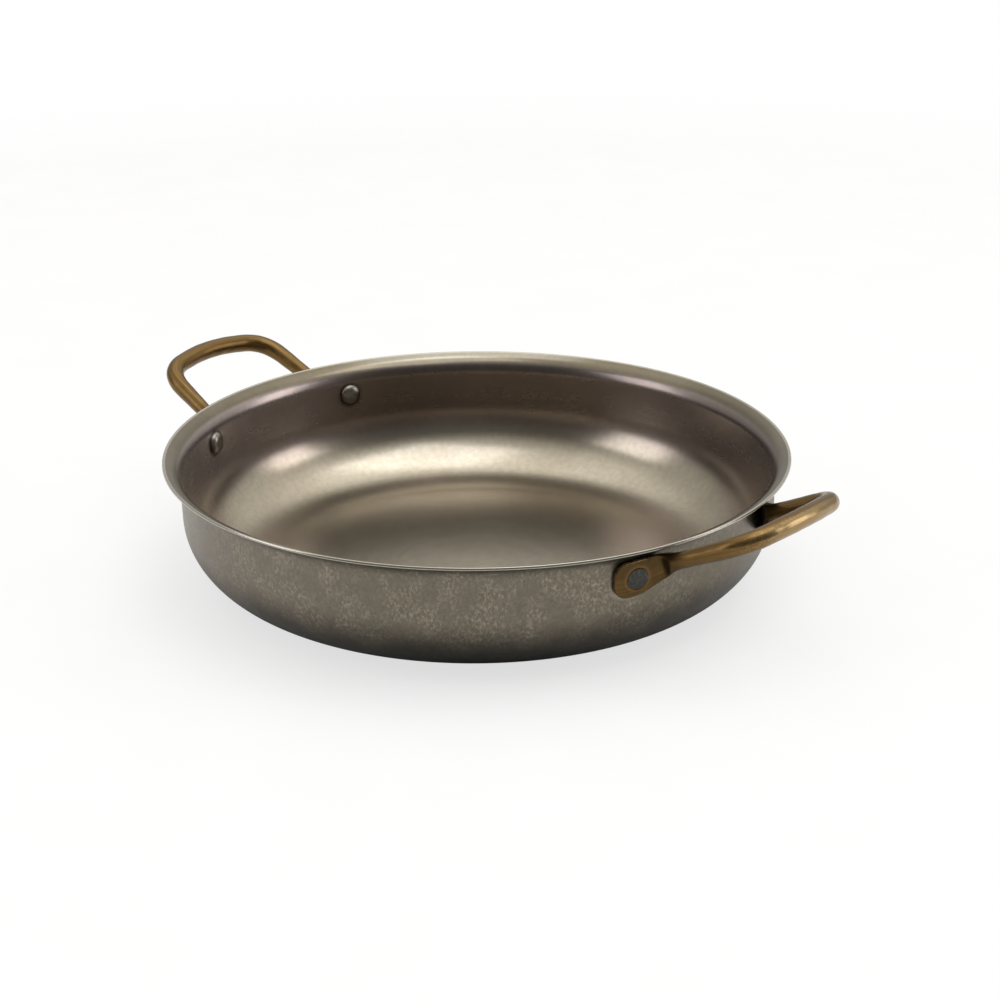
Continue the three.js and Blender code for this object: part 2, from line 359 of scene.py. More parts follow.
def holeCutter(name, angle, atLug):
    # the rivet's shape with its clearance, past both sides, and flared where it opens on the lug's face
    gap = rivet["clearance"]
    inside = -0.004
    past = lugFace + 0.002 if atLug else 0.0008
    shank = rivet["shank"] + gap
    if atLug:
        tail = rivet["tailRadius"] + gap
        profile = np.array([
            [shank, inside],
            [shank, lugFace - rivet["tailDepth"]],
            [tail, lugFace - rivet["rim"] * 0.5],
            [tail + rivet["rim"], lugFace + 0.00002],
            [tail + rivet["rim"], past],
        ])
    else:
        profile = np.array([[shank, inside], [shank, past]])
    rings = spreadTail(turnedRings(profile, rivet["columns"]))
    first, last = atRivet(np.array([[0, 0, inside], [0, 0, past]]), angle)
    return placed(name, closedTube(name, atRivet(rings, angle), first, last))


# Handles: a bar along one lug, round the loop and back along the other lug

handle = {
    "rootDiameter": 0.0055,
    "gripDiameter": 0.0066,
    "lugHeight": 0.0124,
    "lugCornerRadius": 0.0048,
    "lugOverhang": 0.0083,  # lug end beyond the rivet
    "lugNeck": 0.0087,  # rivet to the root of the loop
    "rootRise": 0.0024,
    "loopRise": math.radians(25),
    "loopReach": 0.0231,  # loop corners beyond the rim edge
    "loopHalfWidth": 0.0253,
    "gripBow": 0.0042,
    "gripLift": 0.0006,  # grip's middle above the loop's plane
    "lugBend": 0.004,
    "rootBend": 0.005,
    "cornerBend": 0.0106,
    "gripBend": 0.012,
    "neckTaper": 0.006,
    "swellLength": 0.028,
    "endRound": 0.0005,
    "endThickness": 0.45,  # share of the lug's own, at its very end
    "leanFade": 0.008,  # length over which the bar stops leaning with the wall
    "lipFollow": 0.002,  # how far the lug's top may bend out with the lip
    "heldLength": 0.035,  # half of the stretch that hands have rubbed
    "flatSquareness": 7,
    "forgeDepth": 0.000018,  # unevenness left by forging
    "forgeWaves": ((1, 0.9, 2, 0), (0.8, 0.43, -3, 1), (0.6, 0.21, 4, 2)),  # share, per mm, round, phase
    "sharpAngle": 38,
    "columns": 72,
    "lugRows": 130,
    "loopRows": 260,
}

neckEnd = handle["lugOverhang"] + handle["lugNeck"] + handle["neckTaper"]  # where the bar is round


def lugPlace(along, rise):
    # a point of the lug's middle plane, along the wall from the rivet towards the loop
    height = rivetHeight + rise
    radius = wallRadiusAt(height) + lugSeat + lugThickness / 2
    angle = rivetAngle - along / rivetSeatRadius
    return np.stack([radius * np.cos(angle), radius * np.sin(angle), height + 0 * angle], -1)


def bendAt(before, vertex, after, reach, steps=160):
    # quadratic curve that rounds a path's vertex
    start = vertex + reach * unit(before - vertex)
    end = vertex + reach * unit(after - vertex)
    t = np.linspace(0, 1, steps + 1)[:, None]
    return (1 - t) ** 2 * start + 2 * (1 - t) * t * vertex + t ** 2 * end


def handleLine():
    # fine polyline: lug along the wall, bends at the root, corner and grip, then the mirror image back
    along = np.linspace(-handle["lugOverhang"], handle["lugNeck"] - handle["rootBend"], 300)
    slope = handle["rootRise"] / handle["lugNeck"]
    bend = handle["lugBend"]
    eased = np.clip(along + bend, 0, 2 * bend) ** 2 / (4 * bend) + np.clip(along - bend, 0, None)
    lug = lugPlace(along, slope * eased)
    root = lugPlace(np.array(handle["lugNeck"]), np.array(handle["rootRise"]))

    def loopPlace(reach, y):
        x = dish["rimRadius"] + reach
        return np.array([x, y, root[2] + (x - root[0]) * math.tan(handle["loopRise"])])

    corner = loopPlace(handle["loopReach"], handle["loopHalfWidth"])
    grip = loopPlace(handle["loopReach"] + handle["gripBow"], 0) + [0, 0, handle["gripLift"]]
    mirror = np.array([1, -1, 1])
    gripCurve = bendAt(corner, grip, corner * mirror, handle["gripBend"])
    half = np.concatenate([
        lug,
        bendAt(lug[-1], root, corner, handle["rootBend"]),
        bendAt(root, corner, grip, handle["cornerBend"]),
        gripCurve[:len(gripCurve) // 2 + 1],
    ])
    return np.concatenate([half, (half * mirror)[-2::-1]])


def handleSections():
    # centre, direction, outward and upward of each section, and its distance from the nearer lug end
    line = handleLine()
    steps = np.linalg.norm(np.diff(line, axis=0), axis=1)
    line = line[np.concatenate([[True], steps > 1e-9])]
    reached = np.concatenate([[0], np.cumsum(np.linalg.norm(np.diff(line, axis=0), axis=1))])
    total = reached[-1]
    lugLength = neckEnd + handle["neckTaper"]
    lugSteps = lugLength * np.linspace(0, 1, handle["lugRows"] + 1) ** 1.25
    loopSteps = np.linspace(lugLength, total - lugLength, handle["loopRows"] + 1)[1:-1]
    distance = np.concatenate([lugSteps, loopSteps, total - lugSteps[::-1]])

    def lineAt(d):
        return np.stack([np.interp(d, reached, line[:, axis]) for axis in range(3)], -1)

    centre = lineAt(distance)
    near = 0.0006
    along = unit(lineAt(np.minimum(distance + near, total)) - lineAt(np.maximum(distance - near, 0)))
    fromEnd = np.minimum(distance, total - distance)
    # upright on the loop, leaning with the wall on the lugs
    lean = math.tan(dish["wallDraft"]) * (1 - smoothStep(fromEnd, neckEnd, neckEnd + handle["leanFade"]))
    radial = unit(centre * [1, 1, 0])
    upward = np.array([0, 0, 1]) + lean[:, None] * radial
    upward = unit(upward - along * (upward * along).sum(-1, keepdims=True))
    outward = np.cross(upward, along)
    return centre, along, outward, upward, distance, fromEnd


def sectionSize(fromEnd):
    # half thickness, half height and squareness: flat lug with a round end, then a round bar that swells
    swelling = smoothStep(fromEnd, neckEnd, neckEnd + handle["swellLength"])
    bar = (handle["rootDiameter"] + (handle["gripDiameter"] - handle["rootDiameter"]) * swelling) / 2
    narrowing = smoothStep(fromEnd, handle["lugOverhang"], neckEnd + handle["neckTaper"] / 2)
    rounding = smoothStep(fromEnd, neckEnd - handle["neckTaper"], neckEnd)
    inCorner = np.clip(handle["lugCornerRadius"] - fromEnd, 0, None)
    cut = handle["lugCornerRadius"] - np.sqrt(handle["lugCornerRadius"] ** 2 - inCorner ** 2)
    halfHeight = handle["lugHeight"] / 2 * (1 - narrowing) + bar * narrowing - cut
    halfThickness = lugThickness / 2 * (1 - rounding) + bar * rounding
    atEnd = np.clip(1 - fromEnd / handle["endRound"], 0, 1)
    thinnest = handle["endThickness"]
    halfThickness = halfThickness * (thinnest + (1 - thinnest) * np.sqrt(1 - atEnd ** 2))
    squareness = handle["flatSquareness"] * (1 - rounding) + 2 * rounding
    return halfThickness, halfHeight, squareness, rounding


def bendHandle(name, turn):
    # superellipse sections carried along the path, kept clear of the wall
    centre, along, outward, upward, distance, fromEnd = handleSections()
    halfThickness, halfHeight, squareness, rounding = (row[:, None] for row in sectionSize(fromEnd))
    angle = np.arange(handle["columns"]) / handle["columns"] * 2 * np.pi
    c, s = np.cos(angle), np.sin(angle)
    reach = (np.abs(c) ** squareness + np.abs(s) ** squareness) ** (-1 / squareness)
    d = distance[:, None] * 1000
    uneven = sum(
        share * np.sin(along * d + around * angle + phase)
        for share, along, around, phase in handle["forgeWaves"]
    )
    forged = handle["forgeDepth"] * rounding * uneven
    out = (halfThickness * reach + forged) * c
    up = (halfHeight * reach + forged) * s
    rings = centre[:, None] + out[..., None] * outward[:, None] + up[..., None] * upward[:, None]
    # the lug's top follows the bend under the lip
    radius = np.hypot(rings[..., 0], rings[..., 1])
    face = np.interp(rings[..., 2], outerLine[:, 1], outerLine[:, 0])
    follow = np.clip(face - wallRadiusAt(rings[..., 2]), 0, handle["lipFollow"]) * (1 - rounding)
    rings[..., :2] *= np.maximum(1 + follow / radius, (face + lugSeat) / radius)[..., None]
    facing = np.array([math.cos(turn), math.sin(turn)])
    rings = turnedBy(rings, facing)
    mesh = closedTube(name, rings, rings[0].mean(0), rings[-1].mean(0))
    piece = addPiece(mesh)
    cutAway(piece, [holeCutter("hole", turn + side * rivetAngle, True) for side in (1, -1)])
    paintHandle(piece.data, facing)
    softShade(piece.data, handle["sharpAngle"])
    return piece


def turnedBy(points, facing):
    # points turned about the Z axis, so that +X goes to facing
    x, y = points[..., 0], points[..., 1]
    return np.stack([x * facing[0] - y * facing[1], x * facing[1] + y * facing[0], points[..., 2]], -1)


def paintHandle(mesh, facing):
    # grain runs along the straightened bar, wear marks edges and crests, tarnish the sheltered places, and
    # painted shade darkens the lugs towards the lip
    centre, along, outward, upward, distance, fromEnd = handleSections()
    places = turnedBy(vertexPlaces(mesh), facing * [1, -1])
    nearest = np.concatenate([
        np.linalg.norm(part[:, None] - centre[None], axis=-1).argmin(1)
        for part in np.array_split(places, 40)
    ])
    off = places - centre[nearest]
    out = (off * outward[nearest]).sum(-1)
    up = (off * upward[nearest]).sum(-1)
    halfThickness, halfHeight, squareness, rounding = sectionSize(fromEnd[nearest])
    paintVector(mesh, "grain", np.stack([distance[nearest], out, up], -1))
    paintVector(mesh, "lug", np.stack([fromEnd[nearest] - handle["lugOverhang"], up, out], -1))
    rim = smoothStep(np.abs(up), halfHeight * 0.86, halfHeight * 0.97) * (1 - rounding) * (out > 0)
    crest = rounding * smoothStep(out / halfThickness, -0.2, 0.9)
    held = smoothStep(fromEnd[nearest], fromEnd.max() - handle["heldLength"], fromEnd.max())
    paintValue(mesh, "wear", np.maximum(rim * 0.5, crest * (0.3 + 0.5 * held)))
    towardsWall = smoothStep(-out / halfThickness, -0.3, 0.8)
    onLug = 1 - smoothStep(fromEnd[nearest], neckEnd - 0.002, neckEnd + 0.012)
    shaded = 0.75 + 0.25 * smoothStep(up, -0.002, 0.005)  # painted shade: the lug darker towards its top, under the lip
    paintValue(mesh, "tarnishAndShade", np.maximum(onLug * shaded, towardsWall * 0.3))


shell = spinDish()
rivetTurns = [turn + side * rivetAngle for turn in (0, math.pi) for side in (1, -1)]
cutAway(shell, [holeCutter("hole", turn, False) for turn in rivetTurns])
softShade(shell.data, dish["sharpAngle"])
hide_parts("dish_shell")
print("dish spun with", len(shell.data.polygons), "faces")

handles, rivets = [], []
sides = {
    "right": (0, {"back": rivetAngle, "front": -rivetAngle}),
    "left": (math.pi, {"front": rivetAngle, "back": -rivetAngle}),
}
for side, (turn, ends) in sides.items():
    bar = bendHandle("handle" + side.title(), turn)
    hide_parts("handle_" + side)
    handles.append(bar)
    for end, angle in ends.items():
        pin = turnRivet("rivet" + side.title() + end.title(), turn + angle)
        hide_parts("rivet_" + side + "_" + end)
        rivets.append(pin)
print("handles bent with", [len(bar.data.polygons) for bar in handles], "faces, rivets set")


# Node helpers

def feed(tree, socket, value):
    if isinstance(value, bpy.types.NodeSocket):
        tree.links.new(value, socket)
    else:
        socket.default_value = value


def calc(tree, operation, *values):
    node = tree.nodes.new("ShaderNodeMath")
    node.operation = operation
    for socket, value in zip(node.inputs, values):
        feed(tree, socket, value)
    return node.outputs[0]


def vectorCalc(tree, operation, *values):
    node = tree.nodes.new("ShaderNodeVectorMath")
    node.operation = operation
    for socket, value in zip(node.inputs, values):
        feed(tree, socket, value)
    plainNumber = operation in ("LENGTH", "DOT_PRODUCT")
    return node.outputs["Value" if plainNumber else "Vector"]


def centred(tree, value):
    # noise lies round 0.5, and this puts it round 0
    return calc(tree, "SUBTRACT", value, 0.5)


def times(tree, first, second):
    return calc(tree, "MULTIPLY", first, second)


def summed(tree, start, *shares):
    # start plus each value times its share
    for value, share in shares:
        start = calc(tree, "MULTIPLY_ADD", value, share, start)
    return start


def hypotenuse(tree, along, across):
    return calc(tree, "SQRT", summed(tree, 0, (across, across), (along, along)))


def noiseValue(tree, vector, scale, detail=2.0, roughness=0.5):
    node = tree.nodes.new("ShaderNodeTexNoise")
    feed(tree, node.inputs["Vector"], vector)
    feed(tree, node.inputs["Scale"], scale)
    node.inputs["Detail"].default_value = detail
    node.inputs["Roughness"].default_value = roughness
    return node.outputs["Fac"]


def between(tree, value, low, high, toLow=0.0, toHigh=1.0):
    # S curve from one range to another
    node = tree.nodes.new("ShaderNodeMapRange")
    node.interpolation_type = "SMOOTHSTEP"
    for socket, given in zip(node.inputs, (value, low, high, toLow, toHigh)):
        feed(tree, socket, given)
    return node.outputs["Result"]


def blend(tree, share, first, second, mode="MIX"):
    node = tree.nodes.new("ShaderNodeMix")
    node.data_type = "RGBA"
    node.blend_type = mode
    colours = [socket for socket in node.inputs if socket.type == "RGBA"]
    feed(tree, node.inputs["Factor"], share)
    feed(tree, colours[0], first)
    feed(tree, colours[1], second)
    return [socket for socket in node.outputs if socket.type == "RGBA"][0]


def attribute(tree, name, output="Fac"):
    node = tree.nodes.new("ShaderNodeAttribute")
    node.attribute_name = name
    return node.outputs[output]


def objectPlace(tree):
    return tree.nodes.new("ShaderNodeTexCoord").outputs["Object"]


def bumpFrom(tree, height, depth):
    node = tree.nodes.new("ShaderNodeBump")
    node.inputs["Distance"].default_value = depth
    feed(tree, node.inputs["Height"], height)
    return node.outputs["Normal"]


def newGroup(name, inputs, outputs):
    tree = bpy.data.node_groups.new(name, "ShaderNodeTree")
    for label, kind in inputs.items():
        tree.interface.new_socket(label, in_out="INPUT", socket_type=kind)
    for label, kind in outputs.items():
        tree.interface.new_socket(label, in_out="OUTPUT", socket_type=kind)
    given = tree.nodes.new("NodeGroupInput").outputs
    made = tree.nodes.new("NodeGroupOutput").inputs
    return tree, given, made


def useGroup(tree, group, **values):
    node = tree.nodes.new("ShaderNodeGroup")
    node.node_tree = group
    for label, value in values.items():
        feed(tree, node.inputs[label], value)
    return node.outputs


def rgb(red, green, blue):
    return (red, green, blue, 1.0)


def newMaterial(name):
    material = bpy.data.materials.new(name)
    material.use_nodes = True
    shader = material.node_tree.nodes["Principled BSDF"]
    return material, material.node_tree, shader


number, vector3 = "NodeSocketFloat", "NodeSocketVector"


# Shared effects

def tumbledGrain():
    # the dull grain of metal tumbled with stones: grain, pale flecks that gather in clouds, and a height
    tree, given, made = newGroup(
        "tumbledGrain",
        {"Place": vector3, "GrainScale": number, "CloudScale": number},
        {"Grain": number, "Flecks": number, "Cloud": number, "Height": number},
    )
    place = given["Place"]
    grain = noiseValue(tree, place, given["GrainScale"], 3, 0.65)
    cloud = noiseValue(tree, place, given["CloudScale"], 4, 0.6)
    shifted = vectorCalc(tree, "ADD", place, (0.31, 0.17, 0.23))
    dots = noiseValue(tree, shifted, times(tree, given["GrainScale"], 0.55), 4, 0.7)
    gathered = between(tree, cloud, 0.38, 0.62, 0.15, 1.0)
    flecks = times(tree, between(tree, dots, 0.43, 0.67), gathered)
    height = summed(tree, 0, (dots, 0.3), (grain, 0.7))
    feed(tree, made["Grain"], grain)
    feed(tree, made["Flecks"], flecks)
    feed(tree, made["Cloud"], cloud)
    feed(tree, made["Height"], height)
    return tree


def rubbedEdge():
    # breaks up a painted wear value, so that rubbed metal ends in an uneven line
    tree, given, made = newGroup(
        "rubbedEdge", {"Wear": number, "Place": vector3, "Unevenness": number}, {"Mask": number},
    )
    patches = centred(tree, noiseValue(tree, given["Place"], 900, 3, 0.6))
    uneven = summed(tree, given["Wear"], (patches, given["Unevenness"]))
    feed(tree, made["Mask"], between(tree, uneven, 0.3, 0.7))
    return tree


def fineScratches():
    # hairlines in three directions: noise stretched along a line, kept where it crosses its middle value
    tree, given, made = newGroup(
        "fineScratches", {"Place": vector3, "Spacing": number}, {"Lines": number},
    )
    lines = []
    for turn, stretch in ((0.4, 22), (1.7, 16), (2.6, 28)):
        mapping = tree.nodes.new("ShaderNodeMapping")
        mapping.vector_type = "TEXTURE"
        mapping.inputs["Rotation"].default_value = (turn, 0.7 * turn, 1.3 * turn)
        mapping.inputs["Scale"].default_value = (stretch, 1, 1)
        feed(tree, mapping.inputs["Vector"], given["Place"])
        field = noiseValue(tree, mapping.outputs["Vector"], given["Spacing"], 1, 0.4)
        away = calc(tree, "ABSOLUTE", centred(tree, field))
        broken = between(tree, noiseValue(tree, mapping.outputs["Vector"], 160, 1), 0.54, 0.7)
        lines.append(times(tree, between(tree, away, 0, 0.016, 1, 0), broken))
    firstTwo = calc(tree, "MAXIMUM", lines[0], lines[1])
    feed(tree, made["Lines"], calc(tree, "MAXIMUM", firstTwo, lines[2]))
    return tree


def rivetedSeat():
    # how far a place on the wall is past the nearest lug's outline and past its rivet's head, with the
    # four alike quarters folded into one: turn and height from the rivet, then a box with round corners
    tree, given, made = newGroup(
        "rivetedSeat", {"Place": vector3}, {"Along": number, "PastLug": number, "PastHead": number},
    )
    folded = tree.nodes.new("ShaderNodeSeparateXYZ")
    feed(tree, folded.inputs[0], vectorCalc(tree, "ABSOLUTE", given["Place"]))
    turn = calc(tree, "ARCTAN2", folded.outputs["Y"], folded.outputs["X"])
    along = times(tree, calc(tree, "SUBTRACT", turn, rivetAngle), rivetSeatRadius)
    rise = calc(tree, "SUBTRACT", folded.outputs["Z"], rivetHeight)
    corner = handle["lugCornerRadius"]
    half = (handle["lugOverhang"] + handle["lugNeck"]) / 2
    fromMiddle = calc(tree, "ABSOLUTE", calc(tree, "SUBTRACT", along, handle["lugOverhang"] - half))
    overAlong = calc(tree, "MAXIMUM", calc(tree, "SUBTRACT", fromMiddle, half - corner), 0)
    overRise = calc(tree, "SUBTRACT", calc(tree, "ABSOLUTE", rise), handle["lugHeight"] / 2 - corner)
    overRise = calc(tree, "MAXIMUM", overRise, 0)
    feed(tree, made["Along"], along)
    feed(tree, made["PastLug"], calc(tree, "SUBTRACT", hypotenuse(tree, overAlong, overRise), corner))
    feed(tree, made["PastHead"], calc(tree, "SUBTRACT", hypotenuse(tree, along, rise), rivet["headRadius"]))
    return tree


grainGroup = tumbledGrain()
edgeGroup = rubbedEdge()
scratchGroup = fineScratches()
seatGroup = rivetedSeat()


# Finishes

def tumbledSteel():
    look = {
        "inside": rgb(0.395, 0.352, 0.278),
        "lip": rgb(0.164, 0.14, 0.099),
        "wall": rgb(0.345, 0.291, 0.272),  # inside, between the rounded corner and the lip
        "paintedWallShade": rgb(0.18, 0.15, 0.13),  # painted shade on the inner wall, on the side away from the camera
        # directions of the painted shade and highlight inside: away from the camera, and to the camera's
        # right
        "farSideTowards": (-0.66, 0.75, 0),
        "cameraRightTowards": (0.75, 0.66, 0),
        "paintedLipHighlight": rgb(0.33, 0.306, 0.252),  # painted highlight on the lip's top, on the side away from the camera
        "shadedFloor": rgb(0.1, 0.093, 0.062),
        "brown": rgb(0.27, 0.225, 0.165),
        "outside": rgb(0.156, 0.137, 0.106),
        "paintedLowShade": rgb(0.036, 0.035, 0.032),  # outside, painted shade towards the bottom, standing for the floor's shadow that the lower wall reflects
        # painted light on the outer wall, on the camera's left
        "paintedLightSide": rgb(0.2, 0.175, 0.146),
        "cameraLeftTowards": (-0.75, -0.66, 0),
        "fleck": rgb(0.3, 0.265, 0.205),
        "fleckedTowards": (0.42, -0.9, 0),
        "rubbed": rgb(0.5, 0.475, 0.41),
        "paintedLugHighlight": rgb(0.28, 0.255, 0.21),  # painted highlight on the wall beside a lug's end
        # painted shadow round the rivets' heads inside
        "paintedHeadShadow": rgb(0.07, 0.058, 0.042),
        "innerRoughness": 0.24,
        "outerRoughness": 0.36,
        "reliefDepth": 0.00009,
    }
    depths = {
        # below the rim edge, where each zone starts and where it is full
        "wall": (0.0337, 0.0207),
        "lip": (0.0034, 0.0021),
        "lipTop": (0.0019, 0.0011),
        "smoothLip": (0.004, 0.002),
        "outerWall": (0.042, 0.019),
        "belt": (0.036, 0.021),
    }
    reaches = {
        # from the axis towards a side, where each zone starts and where it is full
        "paintedWallShade": (0.07, 0.101),
        "paintedSideShade": (0.05, 0.1),
        "lipHighlight": (0.093, 0.106),
        "floorShade": (0.005, 0.058),
        "pale": (0.02, 0.095),
        "belt": (0.01, 0.09),
    }
    material, tree, shader = newMaterial("tumbledSteel")
    place = objectPlace(tree)
    height = vectorCalc(tree, "DOT_PRODUCT", place, (0, 0, 1))
    outside = attribute(tree, "outside")
    inside = calc(tree, "SUBTRACT", 1, outside)

    def zone(name, level):
        start, full = depths[name]
        return between(tree, level, dish["height"] - start, dish["height"] - full)

    def byFace(inner, outer):
        return between(tree, outside, 0, 1, inner, outer)

    tall = vectorCalc(tree, "MULTIPLY", place, (1, 1, 0.75))
    grain = useGroup(tree, grainGroup, Place=tall, GrainScale=1800, CloudScale=110)
    scratches = useGroup(tree, scratchGroup, Place=place, Spacing=420)["Lines"]
    worn = attribute(tree, "wear")
    rubbed = useGroup(tree, edgeGroup, Wear=worn, Place=place, Unevenness=0.5)["Mask"]
    # turning lines from the spinning lathe: noise over radius and height alone
    rings = tree.nodes.new("ShaderNodeCombineXYZ")
    flat = vectorCalc(tree, "MULTIPLY", place, (1, 1, 0))
    feed(tree, rings.inputs["X"], vectorCalc(tree, "LENGTH", flat))
    feed(tree, rings.inputs["Z"], height)
    turning = centred(tree, noiseValue(tree, rings.outputs[0], 480, 2, 0.6))
    mottle = centred(tree, noiseValue(tree, place, 430, 2, 0.6))
    # uneven borders between the zones
    drift = times(tree, centred(tree, noiseValue(tree, place, 55, 3, 0.6)), 0.016)
    slow = times(tree, centred(tree, noiseValue(tree, place, 30, 1)), 0.009)
    level = calc(tree, "ADD", height, drift)

    def farTowards(way, shift):
        return calc(tree, "ADD", vectorCalc(tree, "DOT_PRODUCT", place, look[way]), shift)

    def sided(name, far, least=0.0, most=1.0):
        start, full = reaches[name]
        return between(tree, far, start, full, least, most)

    # inside: floor with painted shade on the camera's left, filmed wall with painted shade on the side away
    # from the camera and on its right, and lip with a painted highlight
    onWall = zone("wall", calc(tree, "ADD", height, slow))
    # painted shade: the wall darker on the side away from the camera, and less so on the camera's right
    toFarSide = farTowards("farSideTowards", slow)
    paintedSideShade = sided("paintedSideShade", farTowards("cameraRightTowards", slow), 0, 0.45)
    paintedWallShade = calc(tree, "MAXIMUM", sided("paintedWallShade", toFarSide), paintedSideShade)
    innerColour = blend(tree, onWall, look["inside"], blend(tree, paintedWallShade, look["wall"], look["paintedWallShade"]))
    innerColour = blend(tree, zone("lip", height), innerColour, look["lip"])
    # painted highlight along the lip's top, on the side away from the camera
    lipHighlight = times(tree, sided("lipHighlight", toFarSide), zone("lipTop", height))
    innerColour = blend(tree, lipHighlight, innerColour, look["paintedLipHighlight"])
    toCameraLeft = farTowards("cameraLeftTowards", 0)
    onFloor = between(tree, height, 0.0015, 0.006, 1, 0)
    floorShade = times(tree, sided("floorShade", toCameraLeft, 0, 0.38), onFloor)
    innerColour = blend(tree, floorShade, innerColour, look["shadedFloor"])
    # outside: wall with painted light on the camera's left, and painted shade towards the bottom
    upWall = zone("outerWall", level)
    outerColour = blend(tree, upWall, look["paintedLowShade"], look["outside"])
    # painted light: the outer wall paler on the camera's left
    pale = times(tree, sided("pale", toCameraLeft, 0, 0.8), upWall)
    outerColour = blend(tree, pale, outerColour, look["paintedLightSide"])
    base = blend(tree, outside, innerColour, outerColour)
    browned = between(tree, noiseValue(tree, place, 28, 3, 0.55), 0.45, 0.72, 0, 0.3)
    base = blend(tree, times(tree, browned, inside), base, look["brown"])
    # grain, turning lines and soft spots lighten and darken all of it
    fine = centred(tree, grain["Grain"])
    uneven = summed(tree, 1, (fine, byFace(0, 0.4)), (turning, 0.1), (mottle, 0.28))
    base = blend(tree, 1.0, base, uneven, "MULTIPLY")
    belt = sided("belt", farTowards("fleckedTowards", drift), 0.25, 0.95)
    belt = times(tree, belt, zone("belt", level))
    flecked = times(tree, grain["Flecks"], calc(tree, "MAXIMUM", belt, 0.08))
    base = blend(tree, times(tree, flecked, outside), base, look["fleck"])
    base = blend(tree, times(tree, scratches, byFace(0.05, 0.16)), base, look["fleck"])
    # painted highlight on the wall beside the lugs' ends, and painted shadow round the rivets' heads
    seat = useGroup(tree, seatGroup, Place=place)
    # painted highlight: a lighter band on the wall just past each lug's end
    beside = times(tree, between(tree, seat["PastLug"], 0.0004, 0.0017, 0.75, 0), outside)
    beside = times(tree, beside, between(tree, seat["Along"], -0.004, 0.002))
    base = blend(tree, beside, base, look["paintedLugHighlight"])
    # painted shadow on the inner wall round each rivet's head
    fromHead = summed(tree, seat["PastHead"], (drift, 0.1))
    headShadow = times(tree, between(tree, fromHead, 0.0001, 0.0016, 0.7, 0), inside)
    base = blend(tree, headShadow, base, look["paintedHeadShadow"])
    base = blend(tree, times(tree, rubbed, 0.8), base, look["rubbed"])
    feed(tree, shader.inputs["Base Color"], base)

    film = times(tree, onWall, inside)
    smoothLip = times(tree, zone("smoothLip", height), inside)
    clouds = centred(tree, grain["Cloud"])
    rough = summed(
        tree, byFace(look["innerRoughness"], look["outerRoughness"]),
        (film, 0.03), (smoothLip, -0.07), (clouds, byFace(0.02, 0.06)), (turning, 0.025), (rubbed, -0.08),
    )
    feed(tree, shader.inputs["Roughness"], rough)

    scored = times(tree, scratches, outside)
    relief = summed(tree, 0, (grain["Height"], byFace(0.02, 0.6)), (turning, 0.03), (scored, -0.06))
    feed(tree, shader.inputs["Normal"], bumpFrom(tree, relief, look["reliefDepth"]))
    # a thin brown film dulls the wall inside, less so on its darkest side
    filmed = calc(tree, "SUBTRACT", film, paintedWallShade)
    feed(tree, shader.inputs["Metallic"], between(tree, filmed, 0, 1, 1, 0.84))
    return material


def agedBrass():
    look = {
        "brass": rgb(0.195, 0.116, 0.036),
        "dull": rgb(0.125, 0.073, 0.023),
        "dark": rgb(0.05, 0.03, 0.01),
        "rubbed": rgb(0.36, 0.255, 0.125),
        "orange": rgb(0.2, 0.1, 0.028),  # round the rivets' tails
        "roughness": 0.23,
        "reliefDepth": 0.00007,
        "metallic": 0.88,
    }
    material, tree, shader = newMaterial("agedBrass")
    place = objectPlace(tree)
    bar = attribute(tree, "grain", "Vector")
    tarnishAndShade = attribute(tree, "tarnishAndShade")
    grain = useGroup(tree, grainGroup, Place=place, GrainScale=1300, CloudScale=160)
    worn = attribute(tree, "wear")
    rubbed = useGroup(tree, edgeGroup, Wear=worn, Place=place, Unevenness=0.4)["Mask"]
    scratches = useGroup(tree, scratchGroup, Place=place, Spacing=700)["Lines"]
    # drawn streaks: noise stretched along the bar
    streaks = noiseValue(tree, vectorCalc(tree, "MULTIPLY", bar, (0.022, 1, 1)), 1000, 3, 0.5)
    base = blend(tree, between(tree, streaks, 0.35, 0.7), look["dull"], look["brass"])
    # tarnish, with painted shade on the lugs towards the lip
    aged = summed(tree, tarnishAndShade, (centred(tree, grain["Cloud"]), 0.5))
    base = blend(tree, between(tree, aged, 0.25, 0.95, 0, 0.8), base, look["dark"])
    base = blend(tree, times(tree, rubbed, 0.75), base, look["rubbed"])
    # the ring round a tail is as much wider along the lug as the tail is
    onLug = attribute(tree, "lug", "Vector")
    onLug = vectorCalc(tree, "MULTIPLY", onLug, (1 / rivet["tailSpread"], 1, 0))
    fromTail = calc(tree, "SUBTRACT", vectorCalc(tree, "LENGTH", onLug), rivet["tailRadius"])
    base = blend(tree, between(tree, fromTail, 0.0005, 0.0013, 0.4, 0), base, look["orange"])
    base = blend(tree, times(tree, scratches, 0.12), base, look["rubbed"])
    feed(tree, shader.inputs["Base Color"], base)
    rough = summed(tree, look["roughness"], (grain["Grain"], 0.14), (rubbed, -0.08))
    feed(tree, shader.inputs["Roughness"], rough)
    relief = summed(tree, 0, (grain["Height"], 0.12), (streaks, 0.7))
    feed(tree, shader.inputs["Normal"], bumpFrom(tree, relief, look["reliefDepth"]))
    shader.inputs["Metallic"].default_value = look["metallic"]
    return material


